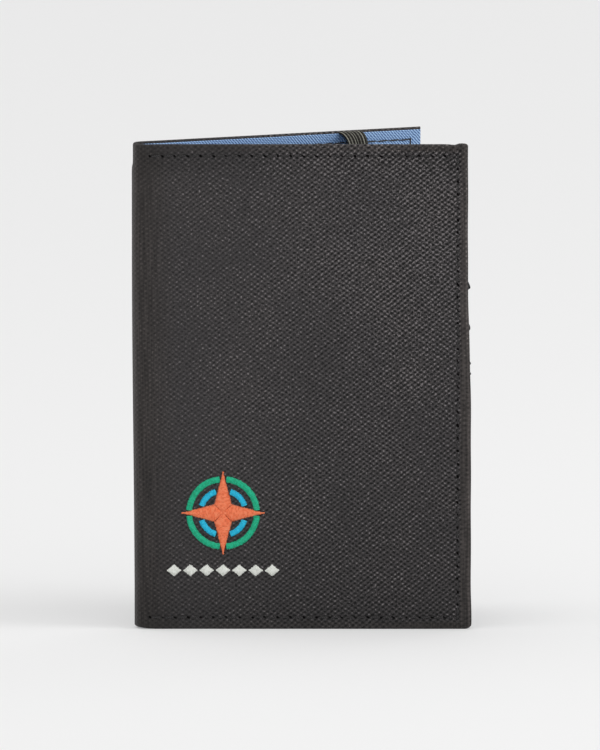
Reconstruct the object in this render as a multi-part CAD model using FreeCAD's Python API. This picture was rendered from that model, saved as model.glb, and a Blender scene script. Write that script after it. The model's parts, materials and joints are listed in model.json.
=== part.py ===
import FreeCAD, Part
import math
import os

from FreeCAD import Vector

# A passport holder wallet: two soft covers of black woven cloth that fold about a narrow spine,
# lined with blue twill. Card slots are sewn inside the front cover, a passport sleeve and an
# upright elastic band inside the back cover. It stands on its bottom edges, part open: the front
# cover faces -Y, the spine is on the -X side and the free edges are on the +X side.
# Millimetres, +Z up, origin under the middle of the whole wallet, on the surface it stands on.

HEIGHT = 140.0          # of the covers, along the spine
COVER_WIDTH = 95.0      # of each cover, from its fold axis to its free edge
SPINE_WIDTH = 7.0       # between the two fold axes, measured on the outer face
OPENING = 30.2          # degrees between the covers as the wallet stands
BEND_RADIUS = 3.5       # of the outer face round each fold
CORNER_RADIUS = 1.0     # of the covers' free corners

CLOTH = 0.7             # outer cloth
HEM_WIDTH = 7.0         # of the cloth turned in along the edges
LINING = 0.3
LINING_INSET = 0.7      # of the lining, below the top edge and above the bottom edge
BEND_GAP = 0.1          # left at each end of a strip that bends
CUT_OVERLAP = 1.0       # of a cutting box past the face it opens

SHEET = 0.35            # one pocket sheet
LAYER_GAP = 0.1         # air between two sheets that lie on each other
SEAM_WIDTH = 1.2        # of a pocket's sewn border, which leaves 88 mm clear for a passport or card
POCKET_START = 2.75     # of the pockets, from the fold axis
BINDING_WIDTH = 3.6     # of the tape round a pocket's mouth
BINDING_ROW = 2.5       # of the stitches along that tape, below the mouth
BINDING_RISE = 0.25     # of that tape above its sheet
BINDING_OVERHANG = 0.8  # of that tape past the cover's free edge
SLOT_MOUTHS = {"top": 100.4, "middle": 88.6, "bottom": 76.8}
SLOT_DEPTH = 54.6       # below its mouth, for a bank card lying on its side
SLIP_MOUTH = 110.4      # of the full-width pocket behind the card slots
SLEEVE_MOUTH = 112.0    # of the passport sleeve
STEP_RUN = 4.0          # height over which a sheet climbs over the edge of the one below

BAND_WIDTH = 8.0
BAND_THICKNESS = CLOTH
BAND_START = 67.7       # of the band's near side, from the back fold axis
BAND_TAIL = 7.0         # sewn in behind the lining at each end
BAND_END_HEIGHT = 22.0  # of each curved end, from the edge of the cover
BAND_CREST = (4.4, 13.2)  # from that edge, where the curved end's crest starts and stops
BAND_REJOIN = 16.5      # from that edge, where it comes back in line with the straight run
BAND_STAND_OFF = 4.25   # of the straight run's middle, in from the back cover's outer face
BAND_BULGE = 6.0        # of the curved ends' middle, likewise
BEND_SAMPLES = 16       # points along each face of a curved end

STITCH_PITCH = 3.65
STITCH_LENGTH = 3.0
THREAD = 0.45           # width of a stitch
THREAD_RISE = 0.2       # of a stitch above the cloth
STITCH_TOP = 3.4        # of the stitch rows, in from the top and bottom edges
STITCH_SIDE = 3.3       # of the stitch rows, in from the free edge
STITCH_START = 0.5      # of those rows, from the fold's strip of cloth
STITCH_STOP = 1.0       # of a pocket's side row, below its mouth

MOTIF_U = 24.3          # middle of the embroidered compass, from the front fold axis
MOTIF_Z = 33.6
MOTIF_RISE = 0.35       # of the embroidery above the cloth
STAR_TIP = 12.0
STAR_WAIST = 3.8
STAR_POINTS = 4
STAR_CLEARANCE = 0.35   # between the star and the rings that it crosses
INNER_RING = (5.6, 7.4)
OUTER_RING = (8.8, 10.7)
LOZENGE_COUNT = 7
LOZENGE_PITCH = 4.7
LOZENGE_WIDTH = 4.0
LOZENGE_HEIGHT = 3.8
LOZENGE_Z = 17.0

FOLD_TURN = (180.0 - OPENING) / 2.0
SETBACK = BEND_RADIUS * math.tan(math.radians(FOLD_TURN / 2.0))
HEM_DEPTH = 2.0 * CLOTH
COVER_THICKNESS = HEM_DEPTH + LINING
UP = Vector(0, 0, 1)


class Panel:
    """A flat panel: u runs along it from its fold axis and depth goes in from its outer face."""

    def __init__(self, origin, heading, inward):
        self.origin = origin
        self.heading = heading
        self.inward = inward

    def place(self, shape):
        placed = shape.copy()
        placed.rotate(Vector(), UP, self.heading)
        placed.translate(self.origin)
        return placed

    def point(self, u, depth):
        angle = math.radians(self.heading)
        along = Vector(math.cos(angle), math.sin(angle), 0)
        across = UP.cross(along) * self.inward
        return self.origin + along * u + across * depth

    def slab(self, u_range, depth_range, z_range, corner=0.0):
        """A plate, with its two corners at the far end of u rounded."""
        faces = sorted(self.inward * depth for depth in depth_range)
        start = Vector(u_range[0], faces[0], z_range[0])
        size = (u_range[1] - u_range[0], faces[1] - faces[0], z_range[1] - z_range[0])
        plate = Part.makeBox(*size, start)
        if corner:
            across = [edge for edge in plate.Edges if is_far_corner(edge, u_range[1])]
            plate = plate.makeFillet(corner, across)
        return self.place(plate)

    def profile(self, outline, u_range):
        """A prism along u, from edges drawn in (depth, z)."""
        wire = Part.Wire(outline)
        face = Part.Face(wire)
        prism = face.extrude(Vector(u_range[1] - u_range[0], 0, 0))
        prism.translate(Vector(u_range[0], 0, 0))
        return self.place(prism)

    def at(self, depth, z):
        """A point of such an outline."""
        return Vector(0, self.inward * depth, z)


def is_far_corner(edge, u_end):
    """True for an edge that runs through a plate's thickness at the far end of u."""
    first, last = edge.Vertexes[0].Point, edge.Vertexes[-1].Point
    at_end = abs(first.x - u_end) < 1e-6 and abs(last.x - u_end) < 1e-6
    return at_end and abs(first.z - last.z) < 1e-6


FRONT = Panel(Vector(), 0.0, 1)
SPINE = Panel(Vector(), 180.0 - FOLD_TURN, -1)
BACK = Panel(SPINE.point(SPINE_WIDTH, 0.0), OPENING, -1)


def fuse(shapes):
    first, *rest = shapes
    return first.multiFuse(rest).removeSplitter() if rest else first


# ---- outer cloth, stiffeners and lining ----

def outer_cloth(panel, with_tail_slots=False):
    """A cover's cloth, with its hem turned in along three edges to frame the stiffener."""
    cloth = panel.slab((SETBACK, COVER_WIDTH), (0, HEM_DEPTH), (0, HEIGHT), CORNER_RADIUS)
    well = panel.slab(
        (SETBACK - CUT_OVERLAP, COVER_WIDTH - HEM_WIDTH),
        (CLOTH, HEM_DEPTH),
        (HEM_WIDTH, HEIGHT - HEM_WIDTH),
    )
    cloth = cloth.cut(well)
    if with_tail_slots:
        u_range = (BAND_START, BAND_START + BAND_WIDTH)
        for z_range in ((0, BAND_TAIL), (HEIGHT - BAND_TAIL, HEIGHT)):
            cloth = cloth.cut(panel.slab(u_range, (CLOTH, HEM_DEPTH), z_range))
    return cloth


def stiffener(panel):
    return panel.slab(
        (SETBACK + LAYER_GAP, COVER_WIDTH - HEM_WIDTH - LAYER_GAP),
        (CLOTH, HEM_DEPTH),
        (HEM_WIDTH + LAYER_GAP, HEIGHT - HEM_WIDTH - LAYER_GAP),
    )


def lining_heights():
    return LINING_INSET, HEIGHT - LINING_INSET


def lining_sheet(panel, u_range, corner=0.0):
    return panel.slab(u_range, (HEM_DEPTH, COVER_THICKNESS), lining_heights(), corner)


def spine_cloth():
    u_range = (SETBACK, SPINE_WIDTH - SETBACK)
    pieces = [SPINE.slab(u_range, (0, CLOTH), (0, HEIGHT))]
    for z_range in ((0, HEM_WIDTH), (HEIGHT - HEM_WIDTH, HEIGHT)):
        pieces.append(SPINE.slab(u_range, (CLOTH, HEM_DEPTH), z_range))
    return fuse(pieces)


# ---- strips that bend at the two folds ----

def bent_strip(centre, start_angle, depth_range, z_range):
    """A strip round one fold: a ring sector with a small gap left at each end."""
    outer, inner = (BEND_RADIUS - depth for depth in depth_range)
    trim = math.degrees(BEND_GAP / BEND_RADIUS)
    base = centre + Vector(0, 0, z_range[0])
    tall = z_range[1] - z_range[0]
    sector = Part.makeCylinder(outer, tall, base, UP, FOLD_TURN - 2.0 * trim)
    sector = sector.cut(Part.makeCylinder(inner, tall, base, UP))
    sector.rotate(base, UP, start_angle + trim)
    return sector


def bent_cloth(centre, start_angle):
    pieces = [bent_strip(centre, start_angle, (0, CLOTH), (0, HEIGHT))]
    for z_range in ((0, HEM_WIDTH), (HEIGHT - HEM_WIDTH, HEIGHT)):
        pieces.append(bent_strip(centre, start_angle, (CLOTH, HEM_DEPTH), z_range))
    return fuse(pieces)


def bent_lining(centre, start_angle):
    return bent_strip(centre, start_angle, (HEM_DEPTH, COVER_THICKNESS), lining_heights())


# ---- pockets ----

def sheet_outline(panel, climb, thickness):
    """The closed outline of a sheet whose near face passes through (z, depth) points."""
    near = [panel.at(depth, z) for z, depth in climb]
    far = [panel.at(depth + thickness, z) for z, depth in reversed(climb)]
    ring = near + far
    return [Part.makeLine(a, b) for a, b in zip(ring, ring[1:] + ring[:1])]


def pocket_sheet(panel, climb):
    """A pocket sheet, with a sewn border that reaches down to the layer below on three sides."""
    u_range = (POCKET_START, COVER_WIDTH)
    sheet = panel.profile(sheet_outline(panel, climb, SHEET), u_range)
    down = [(z, depth - LAYER_GAP) for z, depth in climb]
    border = sheet_outline(panel, down, LAYER_GAP)
    near_side = panel.profile(border, (POCKET_START, POCKET_START + SEAM_WIDTH))
    far_side = panel.profile(border, (COVER_WIDTH - SEAM_WIDTH, COVER_WIDTH))
    foot, depth = climb[0]
    bottom = panel.slab(u_range, (depth - LAYER_GAP, depth), (foot, foot + SEAM_WIDTH))
    return fuse([sheet, near_side, far_side, bottom])


def layer_depth(layer):
    """The near face of a pocket sheet: layer 0 lies on the lining."""
    return COVER_THICKNESS + LAYER_GAP + layer * (SHEET + LAYER_GAP)


def step_up(edge, layer):
    """The two points at which a sheet climbs from one layer to the next, over an edge at z."""
    return [(edge - STEP_RUN, layer_depth(layer)), (edge, layer_depth(layer + 1))]


def slot_climbs():
    """The (z, depth) points of the three card slots: each lies over the foot of the one above."""
    foot = {name: mouth - SLOT_DEPTH for name, mouth in SLOT_MOUTHS.items()}
    foot["bottom"] = LINING_INSET
    top = [(foot["top"], layer_depth(1)), (SLOT_MOUTHS["top"], layer_depth(1))]
    middle = [(foot["middle"], layer_depth(1)), *step_up(foot["top"], 1)]
    middle.append((SLOT_MOUTHS["middle"], layer_depth(2)))
    bottom = [(foot["bottom"], layer_depth(1)), *step_up(foot["middle"], 1)]
    bottom.extend(step_up(foot["top"], 2))
    bottom.append((SLOT_MOUTHS["bottom"], layer_depth(3)))
    return {"top": top, "middle": middle, "bottom": bottom}


def mouth_binding(panel, mouth, depth):
    """The tape over a pocket's mouth, lying on its sheet and standing past the free edge."""
    return panel.slab(
        (POCKET_START, COVER_WIDTH + BINDING_OVERHANG),
        (depth + SHEET, depth + SHEET + BINDING_RISE),
        (mouth - BINDING_WIDTH, mouth),
    )


# ---- elastic band ----

def band_run():
    half = BAND_THICKNESS / 2.0
    return BACK.slab(
        (BAND_START, BAND_START + BAND_WIDTH),
        (BAND_STAND_OFF - half, BAND_STAND_OFF + half),
        (BAND_END_HEIGHT, HEIGHT - BAND_END_HEIGHT),
    )


def band_bend():
    """The middle line of a curved end, as (depth, distance from the cover's edge)."""
    half = BAND_THICKNESS / 2.0
    crest = BAND_BULGE + (BAND_BULGE - BAND_STAND_OFF)
    poles = [
        (COVER_THICKNESS, half),
        (BAND_BULGE, half),
        (crest, BAND_CREST[0]),
        (crest, BAND_CREST[1]),
        (BAND_STAND_OFF, BAND_REJOIN),
        (BAND_STAND_OFF, BAND_END_HEIGHT - BEND_GAP),
    ]
    curve = Part.BezierCurve()
    curve.setPoles([Vector(0, depth, below) for depth, below in poles])
    return curve


def band_end(at_top):
    """A curved end: a tail behind the lining, a turn over the lining's edge and a bulge."""
    middle = band_bend()
    sides = {BAND_THICKNESS / 2.0: [], -BAND_THICKNESS / 2.0: []}
    for step in range(BEND_SAMPLES + 1):
        place = step / BEND_SAMPLES
        along = middle.tangent(place)[0]
        across = Vector(0, -along.z, along.y)
        for offset, points in sides.items():
            point = middle.value(place) + across * offset
            z = HEIGHT - point.z if at_top else point.z
            points.append(BACK.at(point.y, z))
    edges = []
    for points in sides.values():
        side = Part.BSplineCurve()
        side.interpolate(Points=points)
        edges.append(side.toShape())
    left, right = sides.values()
    edges.append(Part.makeLine(left[0], right[0]))
    edges.append(Part.makeLine(left[-1], right[-1]))
    u_range = (BAND_START, BAND_START + BAND_WIDTH)
    curved = BACK.profile(Part.sortEdges(edges)[0], u_range)
    heights = {"tail": (0, BAND_TAIL), "bridge": (0, BAND_THICKNESS)}
    if at_top:
        heights = {name: (HEIGHT - high, HEIGHT - low) for name, (low, high) in heights.items()}
    tail = BACK.slab(u_range, (CLOTH, HEM_DEPTH), heights["tail"])
    bridge = BACK.slab(u_range, (HEM_DEPTH, COVER_THICKNESS), heights["bridge"])
    return fuse([tail, bridge, curved])


# ---- stitching ----

def row_places(start, end):
    """The middles of the stitches of one row, evenly spaced near the stitch pitch."""
    count = round((end - start) / STITCH_PITCH)
    pitch = (end - start) / count
    return [start + (index + 0.5) * pitch for index in range(count)]


def cover_stitches(panel, surface_depth, rise):
    """The row round a cover's top, free and bottom edges; rise is -1 outside and +1 inside."""
    near, far = SETBACK + STITCH_START, COVER_WIDTH - STITCH_SIDE
    low, high = STITCH_TOP, HEIGHT - STITCH_TOP
    reach, side = STITCH_LENGTH / 2.0, THREAD / 2.0
    stitches = []
    for z in (low, high):
        for u in row_places(near, far):
            lie = surface_depth(u, z)
            depths = sorted((lie, lie + rise * THREAD_RISE))
            stitches.append(panel.slab((u - reach, u + reach), depths, (z - side, z + side)))
    for z in row_places(low, high):
        lie = max(surface_depth(far, z - reach), surface_depth(far, z + reach))
        depths = sorted((lie, lie + rise * THREAD_RISE))
        stitches.append(panel.slab((far - side, far + side), depths, (z - reach, z + reach)))
    return Part.Compound(stitches)


def outer_surface(_u, _z):
    return 0.0


def climb_depth(climb, z):
    """The depth of a sheet's upper face at a height, or none where the sheet doesn't reach."""
    for (low, low_depth), (high, high_depth) in zip(climb, climb[1:]):
        if low <= z <= high:
            share = (z - low) / (high - low)
            return low_depth + share * (high_depth - low_depth) + SHEET
    return None


def inner_surface(climbs):
    """The height of the pile of sheets inside a cover, as a function of the place on it."""

    def surface(u, z):
        piled = [climb_depth(climb, z) for climb in climbs] if u > POCKET_START else []
        bindings = [
            climb[-1][1] + SHEET + BINDING_RISE
            for climb in climbs
            if u > POCKET_START and climb[-1][0] - BINDING_WIDTH <= z <= climb[-1][0]
        ]
        return max([COVER_THICKNESS, *bindings, *(depth for depth in piled if depth is not None)])

    return surface


def side_stitches(panel, climbs):
    """The row down the pockets' edge beside the spine."""
    surface = inner_surface(climbs)
    u = POCKET_START + SEAM_WIDTH / 2.0
    reach, side = STITCH_LENGTH / 2.0, THREAD / 2.0
    highest = max(climb[-1][0] for climb in climbs)
    stitches = []
    for z in row_places(STITCH_TOP + STITCH_PITCH, highest - STITCH_STOP):
        lie = max(surface(u, z - reach), surface(u, z + reach))
        box = panel.slab((u - side, u + side), (lie, lie + THREAD_RISE), (z - reach, z + reach))
        stitches.append(box)
    return Part.Compound(stitches)


def binding_stitches(panel, mouths):
    """A row along the middle of each mouth's tape; mouths maps a height to a sheet's depth."""
    reach, side = STITCH_LENGTH / 2.0, THREAD / 2.0
    stitches = []
    for mouth, depth in mouths.items():
        z = mouth - BINDING_ROW
        lie = depth + SHEET + BINDING_RISE
        near, far = POCKET_START + SEAM_WIDTH, COVER_WIDTH - STITCH_SIDE - THREAD
        for u in row_places(near, far):
            depths = (lie, lie + THREAD_RISE)
            stitches.append(panel.slab((u - reach, u + reach), depths, (z - side, z + side)))
    return Part.Compound(stitches)


# ---- embroidery on the front cover ----

def raised_patch(outline):
    """A patch of thread on the front cover, from a closed wire drawn on y = 0 at the motif."""
    patch = Part.Face(outline).extrude(Vector(0, -MOTIF_RISE, 0))
    patch.translate(Vector(MOTIF_U, 0, MOTIF_Z))
    return patch


def star_outline(growth=0.0):
    """A star with long points, up, down and to the sides, and a narrow waist between them."""
    corners = []
    for index in range(2 * STAR_POINTS):
        radius = (STAR_WAIST if index % 2 else STAR_TIP) + growth
        angle = math.pi * index / STAR_POINTS
        corners.append(Vector(radius * math.sin(angle), 0, radius * math.cos(angle)))
    return Part.makePolygon([*corners, corners[0]])


def ring_patch(radii):
    """A ring of thread, parted where the star crosses it."""
    inner, outer = radii
    centre = Vector(MOTIF_U, 0, MOTIF_Z)
    disc = Part.makeCylinder(outer, MOTIF_RISE, centre, Vector(0, -1, 0))
    ring = disc.cut(Part.makeCylinder(inner, MOTIF_RISE, centre, Vector(0, -1, 0)))
    return ring.cut(raised_patch(star_outline(STAR_CLEARANCE)))


def lozenge_row():
    lozenges = []
    wide, tall = LOZENGE_WIDTH / 2.0, LOZENGE_HEIGHT / 2.0
    for index in range(LOZENGE_COUNT):
        u = (index - (LOZENGE_COUNT - 1) / 2.0) * LOZENGE_PITCH
        z = LOZENGE_Z - MOTIF_Z
        corners = [Vector(u + wide, 0, z), Vector(u, 0, z + tall)]
        corners += [Vector(u - wide, 0, z), Vector(u, 0, z - tall)]
        lozenges.append(raised_patch(Part.makePolygon([*corners, corners[0]])))
    return Part.Compound(lozenges)


# ---- assembly ----

def shell_nodes():
    """The cloth, stiffeners and lining of both covers, the spine and the two folds."""
    spine_angle = SPINE.heading + 90.0
    front_centre = FRONT.point(SETBACK, BEND_RADIUS)
    back_centre = BACK.point(SETBACK, BEND_RADIUS)
    cover_lining = (SETBACK, COVER_WIDTH)
    return {
        "outer_front": outer_cloth(FRONT),
        "outer_back": outer_cloth(BACK, with_tail_slots=True),
        "outer_spine": spine_cloth(),
        "outer_front_fold": bent_cloth(front_centre, spine_angle),
        "outer_back_fold": bent_cloth(back_centre, spine_angle - FOLD_TURN),
        "stiffener_front": stiffener(FRONT),
        "stiffener_back": stiffener(BACK),
        "lining_front": lining_sheet(FRONT, cover_lining, CORNER_RADIUS),
        "lining_back": lining_sheet(BACK, cover_lining, CORNER_RADIUS),
        "lining_spine": lining_sheet(SPINE, (SETBACK, SPINE_WIDTH - SETBACK)),
        "lining_front_fold": bent_lining(front_centre, spine_angle),
        "lining_back_fold": bent_lining(back_centre, spine_angle - FOLD_TURN),
    }


def pocket_nodes():
    """The pockets inside both covers, with their bindings and stitching."""
    slots = slot_climbs()
    slip = [(LINING_INSET, layer_depth(0)), (SLIP_MOUTH, layer_depth(0))]
    sleeve = [(LINING_INSET, layer_depth(0)), (SLEEVE_MOUTH, layer_depth(0))]
    front_climbs = [slip, *slots.values()]
    nodes = {
        "slip_pocket": pocket_sheet(FRONT, slip),
        "slip_pocket_binding": mouth_binding(FRONT, *slip[-1]),
        "passport_sleeve": pocket_sheet(BACK, sleeve),
        "passport_sleeve_binding": mouth_binding(BACK, *sleeve[-1]),
    }
    for name, climb in slots.items():
        nodes[f"card_slot_{name}"] = pocket_sheet(FRONT, climb)
        nodes[f"card_slot_{name}_binding"] = mouth_binding(FRONT, *climb[-1])
    nodes["slot_side_stitches"] = side_stitches(FRONT, front_climbs)
    nodes["slot_mouth_stitches"] = binding_stitches(FRONT, dict(climb[-1] for climb in front_climbs))
    nodes["sleeve_side_stitches"] = side_stitches(BACK, [sleeve])
    nodes["sleeve_mouth_stitches"] = binding_stitches(BACK, dict([sleeve[-1]]))
    nodes["edge_stitches_front_outside"] = cover_stitches(FRONT, outer_surface, -1)
    nodes["edge_stitches_front_inside"] = cover_stitches(FRONT, inner_surface(front_climbs), 1)
    nodes["edge_stitches_back_outside"] = cover_stitches(BACK, outer_surface, -1)
    nodes["edge_stitches_back_inside"] = cover_stitches(BACK, inner_surface([sleeve]), 1)
    return nodes


def band_nodes():
    return {
        "elastic_band": band_run(),
        "elastic_top_end": band_end(at_top=True),
        "elastic_bottom_end": band_end(at_top=False),
    }


def embroidery_nodes():
    return {
        "embroidered_star": raised_patch(star_outline()),
        "embroidered_inner_ring": ring_patch(INNER_RING),
        "embroidered_outer_ring": ring_patch(OUTER_RING),
        "embroidered_lozenges": lozenge_row(),
    }


def main():
    nodes = {**shell_nodes(), **pocket_nodes(), **band_nodes(), **embroidery_nodes()}
    box = Part.Compound(list(nodes.values())).optimalBoundingBox()
    shift = Vector(-box.Center.x, -box.Center.y, -box.ZMin)
    os.makedirs("parts", exist_ok=True)
    for name, shape in nodes.items():
        shape.translate(shift)
        shape.exportStep(os.path.join("parts", f"{name}.step"))
    print("front fold axis", FRONT.origin + shift)
    print("back fold axis", BACK.origin + shift)
    print("size", box.XLength, box.YLength, box.ZLength)


main()
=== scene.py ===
import json
import math
import random
from dataclasses import dataclass
from functools import partialmethod

import bmesh
import bpy
import numpy as np
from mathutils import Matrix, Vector


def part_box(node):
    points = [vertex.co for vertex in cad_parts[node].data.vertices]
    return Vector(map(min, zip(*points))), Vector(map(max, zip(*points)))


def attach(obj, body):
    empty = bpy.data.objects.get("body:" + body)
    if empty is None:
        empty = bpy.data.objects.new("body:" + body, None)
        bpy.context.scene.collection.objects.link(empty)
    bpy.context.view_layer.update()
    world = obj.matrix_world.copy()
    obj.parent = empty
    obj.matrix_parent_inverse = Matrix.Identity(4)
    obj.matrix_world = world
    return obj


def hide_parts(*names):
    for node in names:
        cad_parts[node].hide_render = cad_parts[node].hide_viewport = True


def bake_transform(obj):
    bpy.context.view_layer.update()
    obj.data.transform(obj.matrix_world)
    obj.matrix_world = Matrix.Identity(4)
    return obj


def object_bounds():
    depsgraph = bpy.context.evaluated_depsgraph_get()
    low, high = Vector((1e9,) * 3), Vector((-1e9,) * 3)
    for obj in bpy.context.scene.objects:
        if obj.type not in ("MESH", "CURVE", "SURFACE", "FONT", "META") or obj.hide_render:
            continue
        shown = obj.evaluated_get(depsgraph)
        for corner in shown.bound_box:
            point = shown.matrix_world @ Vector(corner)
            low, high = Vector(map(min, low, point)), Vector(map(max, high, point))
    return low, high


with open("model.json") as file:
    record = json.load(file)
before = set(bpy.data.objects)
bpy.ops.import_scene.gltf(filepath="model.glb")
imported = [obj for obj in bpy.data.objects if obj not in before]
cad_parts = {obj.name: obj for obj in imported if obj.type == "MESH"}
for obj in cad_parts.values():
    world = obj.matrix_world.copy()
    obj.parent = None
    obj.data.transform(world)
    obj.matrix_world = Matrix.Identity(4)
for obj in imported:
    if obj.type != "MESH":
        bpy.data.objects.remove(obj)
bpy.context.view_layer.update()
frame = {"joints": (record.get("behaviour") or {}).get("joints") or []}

# A passport holder wallet that stands part open on its bottom edges. Shapes are worked out in
# millimetres in the frame of the CAD model, and made in metres. Each cover's half of the skin has
# its own coordinates: s runs from the middle of the spine round the fold to the free edge, z is the
# height, and depth goes in from the outer face.

MM = 0.001
JOINTS = {joint["name"]: joint for joint in frame["joints"]}


def top_of(node):
    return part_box(node)[1].z / MM


def foot_of(node):
    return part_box(node)[0].z / MM


# ---- sizes, as in the CAD model ----

HEIGHT = top_of("outer_front")
COVER_WIDTH = 95.0
SPINE_WIDTH = 7.0
BEND_RADIUS = 3.5
CLOTH = 0.7
HEM_WIDTH = 7.0
HEM_DEPTH = 1.4
COVER_THICKNESS = 1.7
SHEET = 0.35
LAYER_GAP = 0.1
STEP_RUN = 4.0
POCKET_START = 2.75
SEAM_WIDTH = 1.2
BINDING_WIDTH = 3.6
BINDING_RISE = 0.25
BINDING_ROW = 2.5
BAND_START = 67.7
BAND_WIDTH = 8.0
BAND_THICKNESS = 0.7
BAND_STAND_OFF = 4.25
BAND_END_HEIGHT = 22.0
STITCH_PITCH = 3.65
THREAD = 0.45
STITCH_TOP = 3.4
STITCH_SIDE = 3.3
STITCH_START = 0.5
STITCH_STOP = 1.0
MOTIF_U = 24.3
MOTIF_Z = 33.6
STAR_TIP = 12.0
STAR_WAIST = 3.8
INNER_RING = (5.6, 7.4)
OUTER_RING = (8.8, 10.7)
LOZENGE_COUNT = 7
LOZENGE_PITCH = 4.7
LOZENGE_WIDTH = 4.0
LOZENGE_HEIGHT = 3.8
LOZENGE_Z = 17.0

# ---- places, from the frame ----

FRONT_AXIS = np.array(JOINTS["front_fold"]["pos_m"][:2]) / MM
BACK_AXIS = np.array(JOINTS["back_fold"]["pos_m"][:2]) / MM
ALONG_BACK = np.array(JOINTS["elastic_pull"]["axis"][:2])
OPENING = math.atan2(ALONG_BACK[1], ALONG_BACK[0])
FOLD_TURN = (math.pi - OPENING) / 2
SETBACK = BEND_RADIUS * math.tan(FOLD_TURN / 2)
FOLD_START = SPINE_WIDTH / 2 - SETBACK
FOLD_END = FOLD_START + BEND_RADIUS * FOLD_TURN
FREE_EDGE = FOLD_END + COVER_WIDTH - SETBACK

# ---- the cloth's unevenness ----

FLARE_HIGH, FLARE_LOW = 105.0, 60.0  # heights between which the free edge steps out
FLARE = 0.45  # of the free edge, in at the top and out at the bottom
FLARE_REACH = 2.6  # beside the free edge, where the cloth follows it
FOOT_FLARE = 0.16  # of the free edge, further out at its foot
SPINE_BULGE = 0.62  # of the spine, out all along its height
SPINE_WEAR = 0.68  # of the spine, in at the foot and fading upwards
SPINE_TOP_DENT = 0.3  # of the spine, in above its top seam
SPINE_FADE = (4.0, 14.0)  # between which the spine's unevenness dies out
SPINE_FOOT_LIFT = 0.35  # of the spine, up at its foot
RIPPLE = 0.16  # of the covers, in and out
PUCKER = 0.20  # of the cloth along a row of stitches

RNG = random.Random(752)


def smooth(low, high, value):
    """0 below low, 1 above high, and a smooth rise between them."""
    t = np.clip((value - low) / (high - low), 0.0, 1.0)
    return t * t * (3 - 2 * t)


def within(start, end, value):
    """1 from start to end, and a smooth fall to 0 in the millimetre past either."""
    return smooth(start - 1.0, start, value) * (1 - smooth(end, end + 1.0, value))


def s_of(u):
    """The skin's coordinate at a distance u along a cover from its fold axis."""
    return u - SETBACK + FOLD_END


@dataclass
class Cover:
    """One half of the skin: half of the spine, a fold and a cover. In plan, its axis is the fold's,
    along points to the free edge and inward in from the outer face."""

    axis: np.ndarray
    along: np.ndarray
    inward: np.ndarray
    ripple_phase: float
    corners: tuple  # radii of its bottom and top free corners
    spread: float  # how far its free edge is moved out
    bump: float  # how far its top free corner is raised
    rise: float  # how far the rest of its top is raised

    def outer_face(self, s):
        """Points of the smooth outer face in plan, and the direction in from it."""
        turn = np.clip((FOLD_END - s) / BEND_RADIUS, 0.0, FOLD_TURN)[..., None]
        inward = np.cos(turn) * self.inward + np.sin(turn) * self.along
        point = self.axis + SETBACK * self.along + BEND_RADIUS * (self.inward - inward)
        point = point + np.maximum(s - FOLD_END, 0.0)[..., None] * self.along
        to_middle = math.sin(FOLD_TURN) * self.inward - math.cos(FOLD_TURN) * self.along
        return point + np.maximum(FOLD_START - s, 0.0)[..., None] * to_middle, inward

    def slip(self, s, z):
        """How far the cloth is shifted along the cover near the free edge."""
        flare = self.spread + FLARE * (1.0 - 2.0 * smooth(FLARE_LOW, FLARE_HIGH, z))
        flare = flare + 0.04 * np.sin(0.31 * z + self.ripple_phase)
        flare = flare + FOOT_FLARE * (1 - smooth(2.0, 14.0, z))
        return flare * smooth(FREE_EDGE - FLARE_REACH, FREE_EDGE, s)

    def dent(self, s, z):
        """How far the cloth lies in from the smooth face."""
        worn = SPINE_WEAR * (1.0 - smooth(5.0, 105.0, z))
        worn = worn + SPINE_TOP_DENT * smooth(HEIGHT - 7.5, HEIGHT - 5.5, z)
        worn = (worn - SPINE_BULGE) * (1.0 - smooth(*SPINE_FADE, s))
        wave = np.sin(0.061 * s + self.ripple_phase) * np.sin(0.047 * z + 1.3 * self.ripple_phase)
        wave = wave + 0.45 * np.sin(0.13 * s - 0.09 * z + self.ripple_phase)
        return worn + RIPPLE * wave * smooth(6.0, 24.0, s)

    def lift(self, s, z):
        """How far the cloth is drawn up or down near its corners."""
        near_spine = 1.0 - smooth(1.0, 8.0, s)
        bottom = SPINE_FOOT_LIFT * near_spine * np.clip(1.0 - z / 16.0, 0.0, 1.0) ** 2
        corner = smooth(FREE_EDGE - 4.2, FREE_EDGE - 2.8, s)
        corner = corner * (1.0 - 0.7 * smooth(FREE_EDGE - 1.6, FREE_EDGE - 0.4, s))
        dip = np.exp(-(((s - (FREE_EDGE - 4.4)) / 1.4) ** 2))
        top = self.bump * (corner - 0.8 * dip) + self.rise
        return bottom + top * smooth(HEIGHT - 5, HEIGHT, z)

    def at(self, s, z, depth):
        """Points of a layer at a depth, with the cloth's unevenness, one per row."""
        s, z, depth = np.broadcast_arrays(*(np.asarray(v, float) for v in (s, z, depth)))
        plan, inward = self.outer_face(s + self.slip(s, z))
        plan = plan + (depth + self.dent(s, z))[..., None] * inward
        return np.concatenate([plan, (z + self.lift(s, z))[..., None]], axis=-1)


IN_FROM_BACK = np.array([ALONG_BACK[1], -ALONG_BACK[0]])
FRONT = Cover(FRONT_AXIS, np.array([1.0, 0.0]), np.array([0.0, 1.0]), 0.4, (1.6, 0.8), 0.10, 0.24, 0.0)
BACK = Cover(BACK_AXIS, ALONG_BACK, IN_FROM_BACK, 2.1, (1.3, 0.0), 0.65, 0.0, 0.14)


# ---- meshes ----

def add_object(name, data):
    thing = bpy.data.objects.new(name, data)
    bpy.context.scene.collection.objects.link(thing)
    return thing


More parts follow.
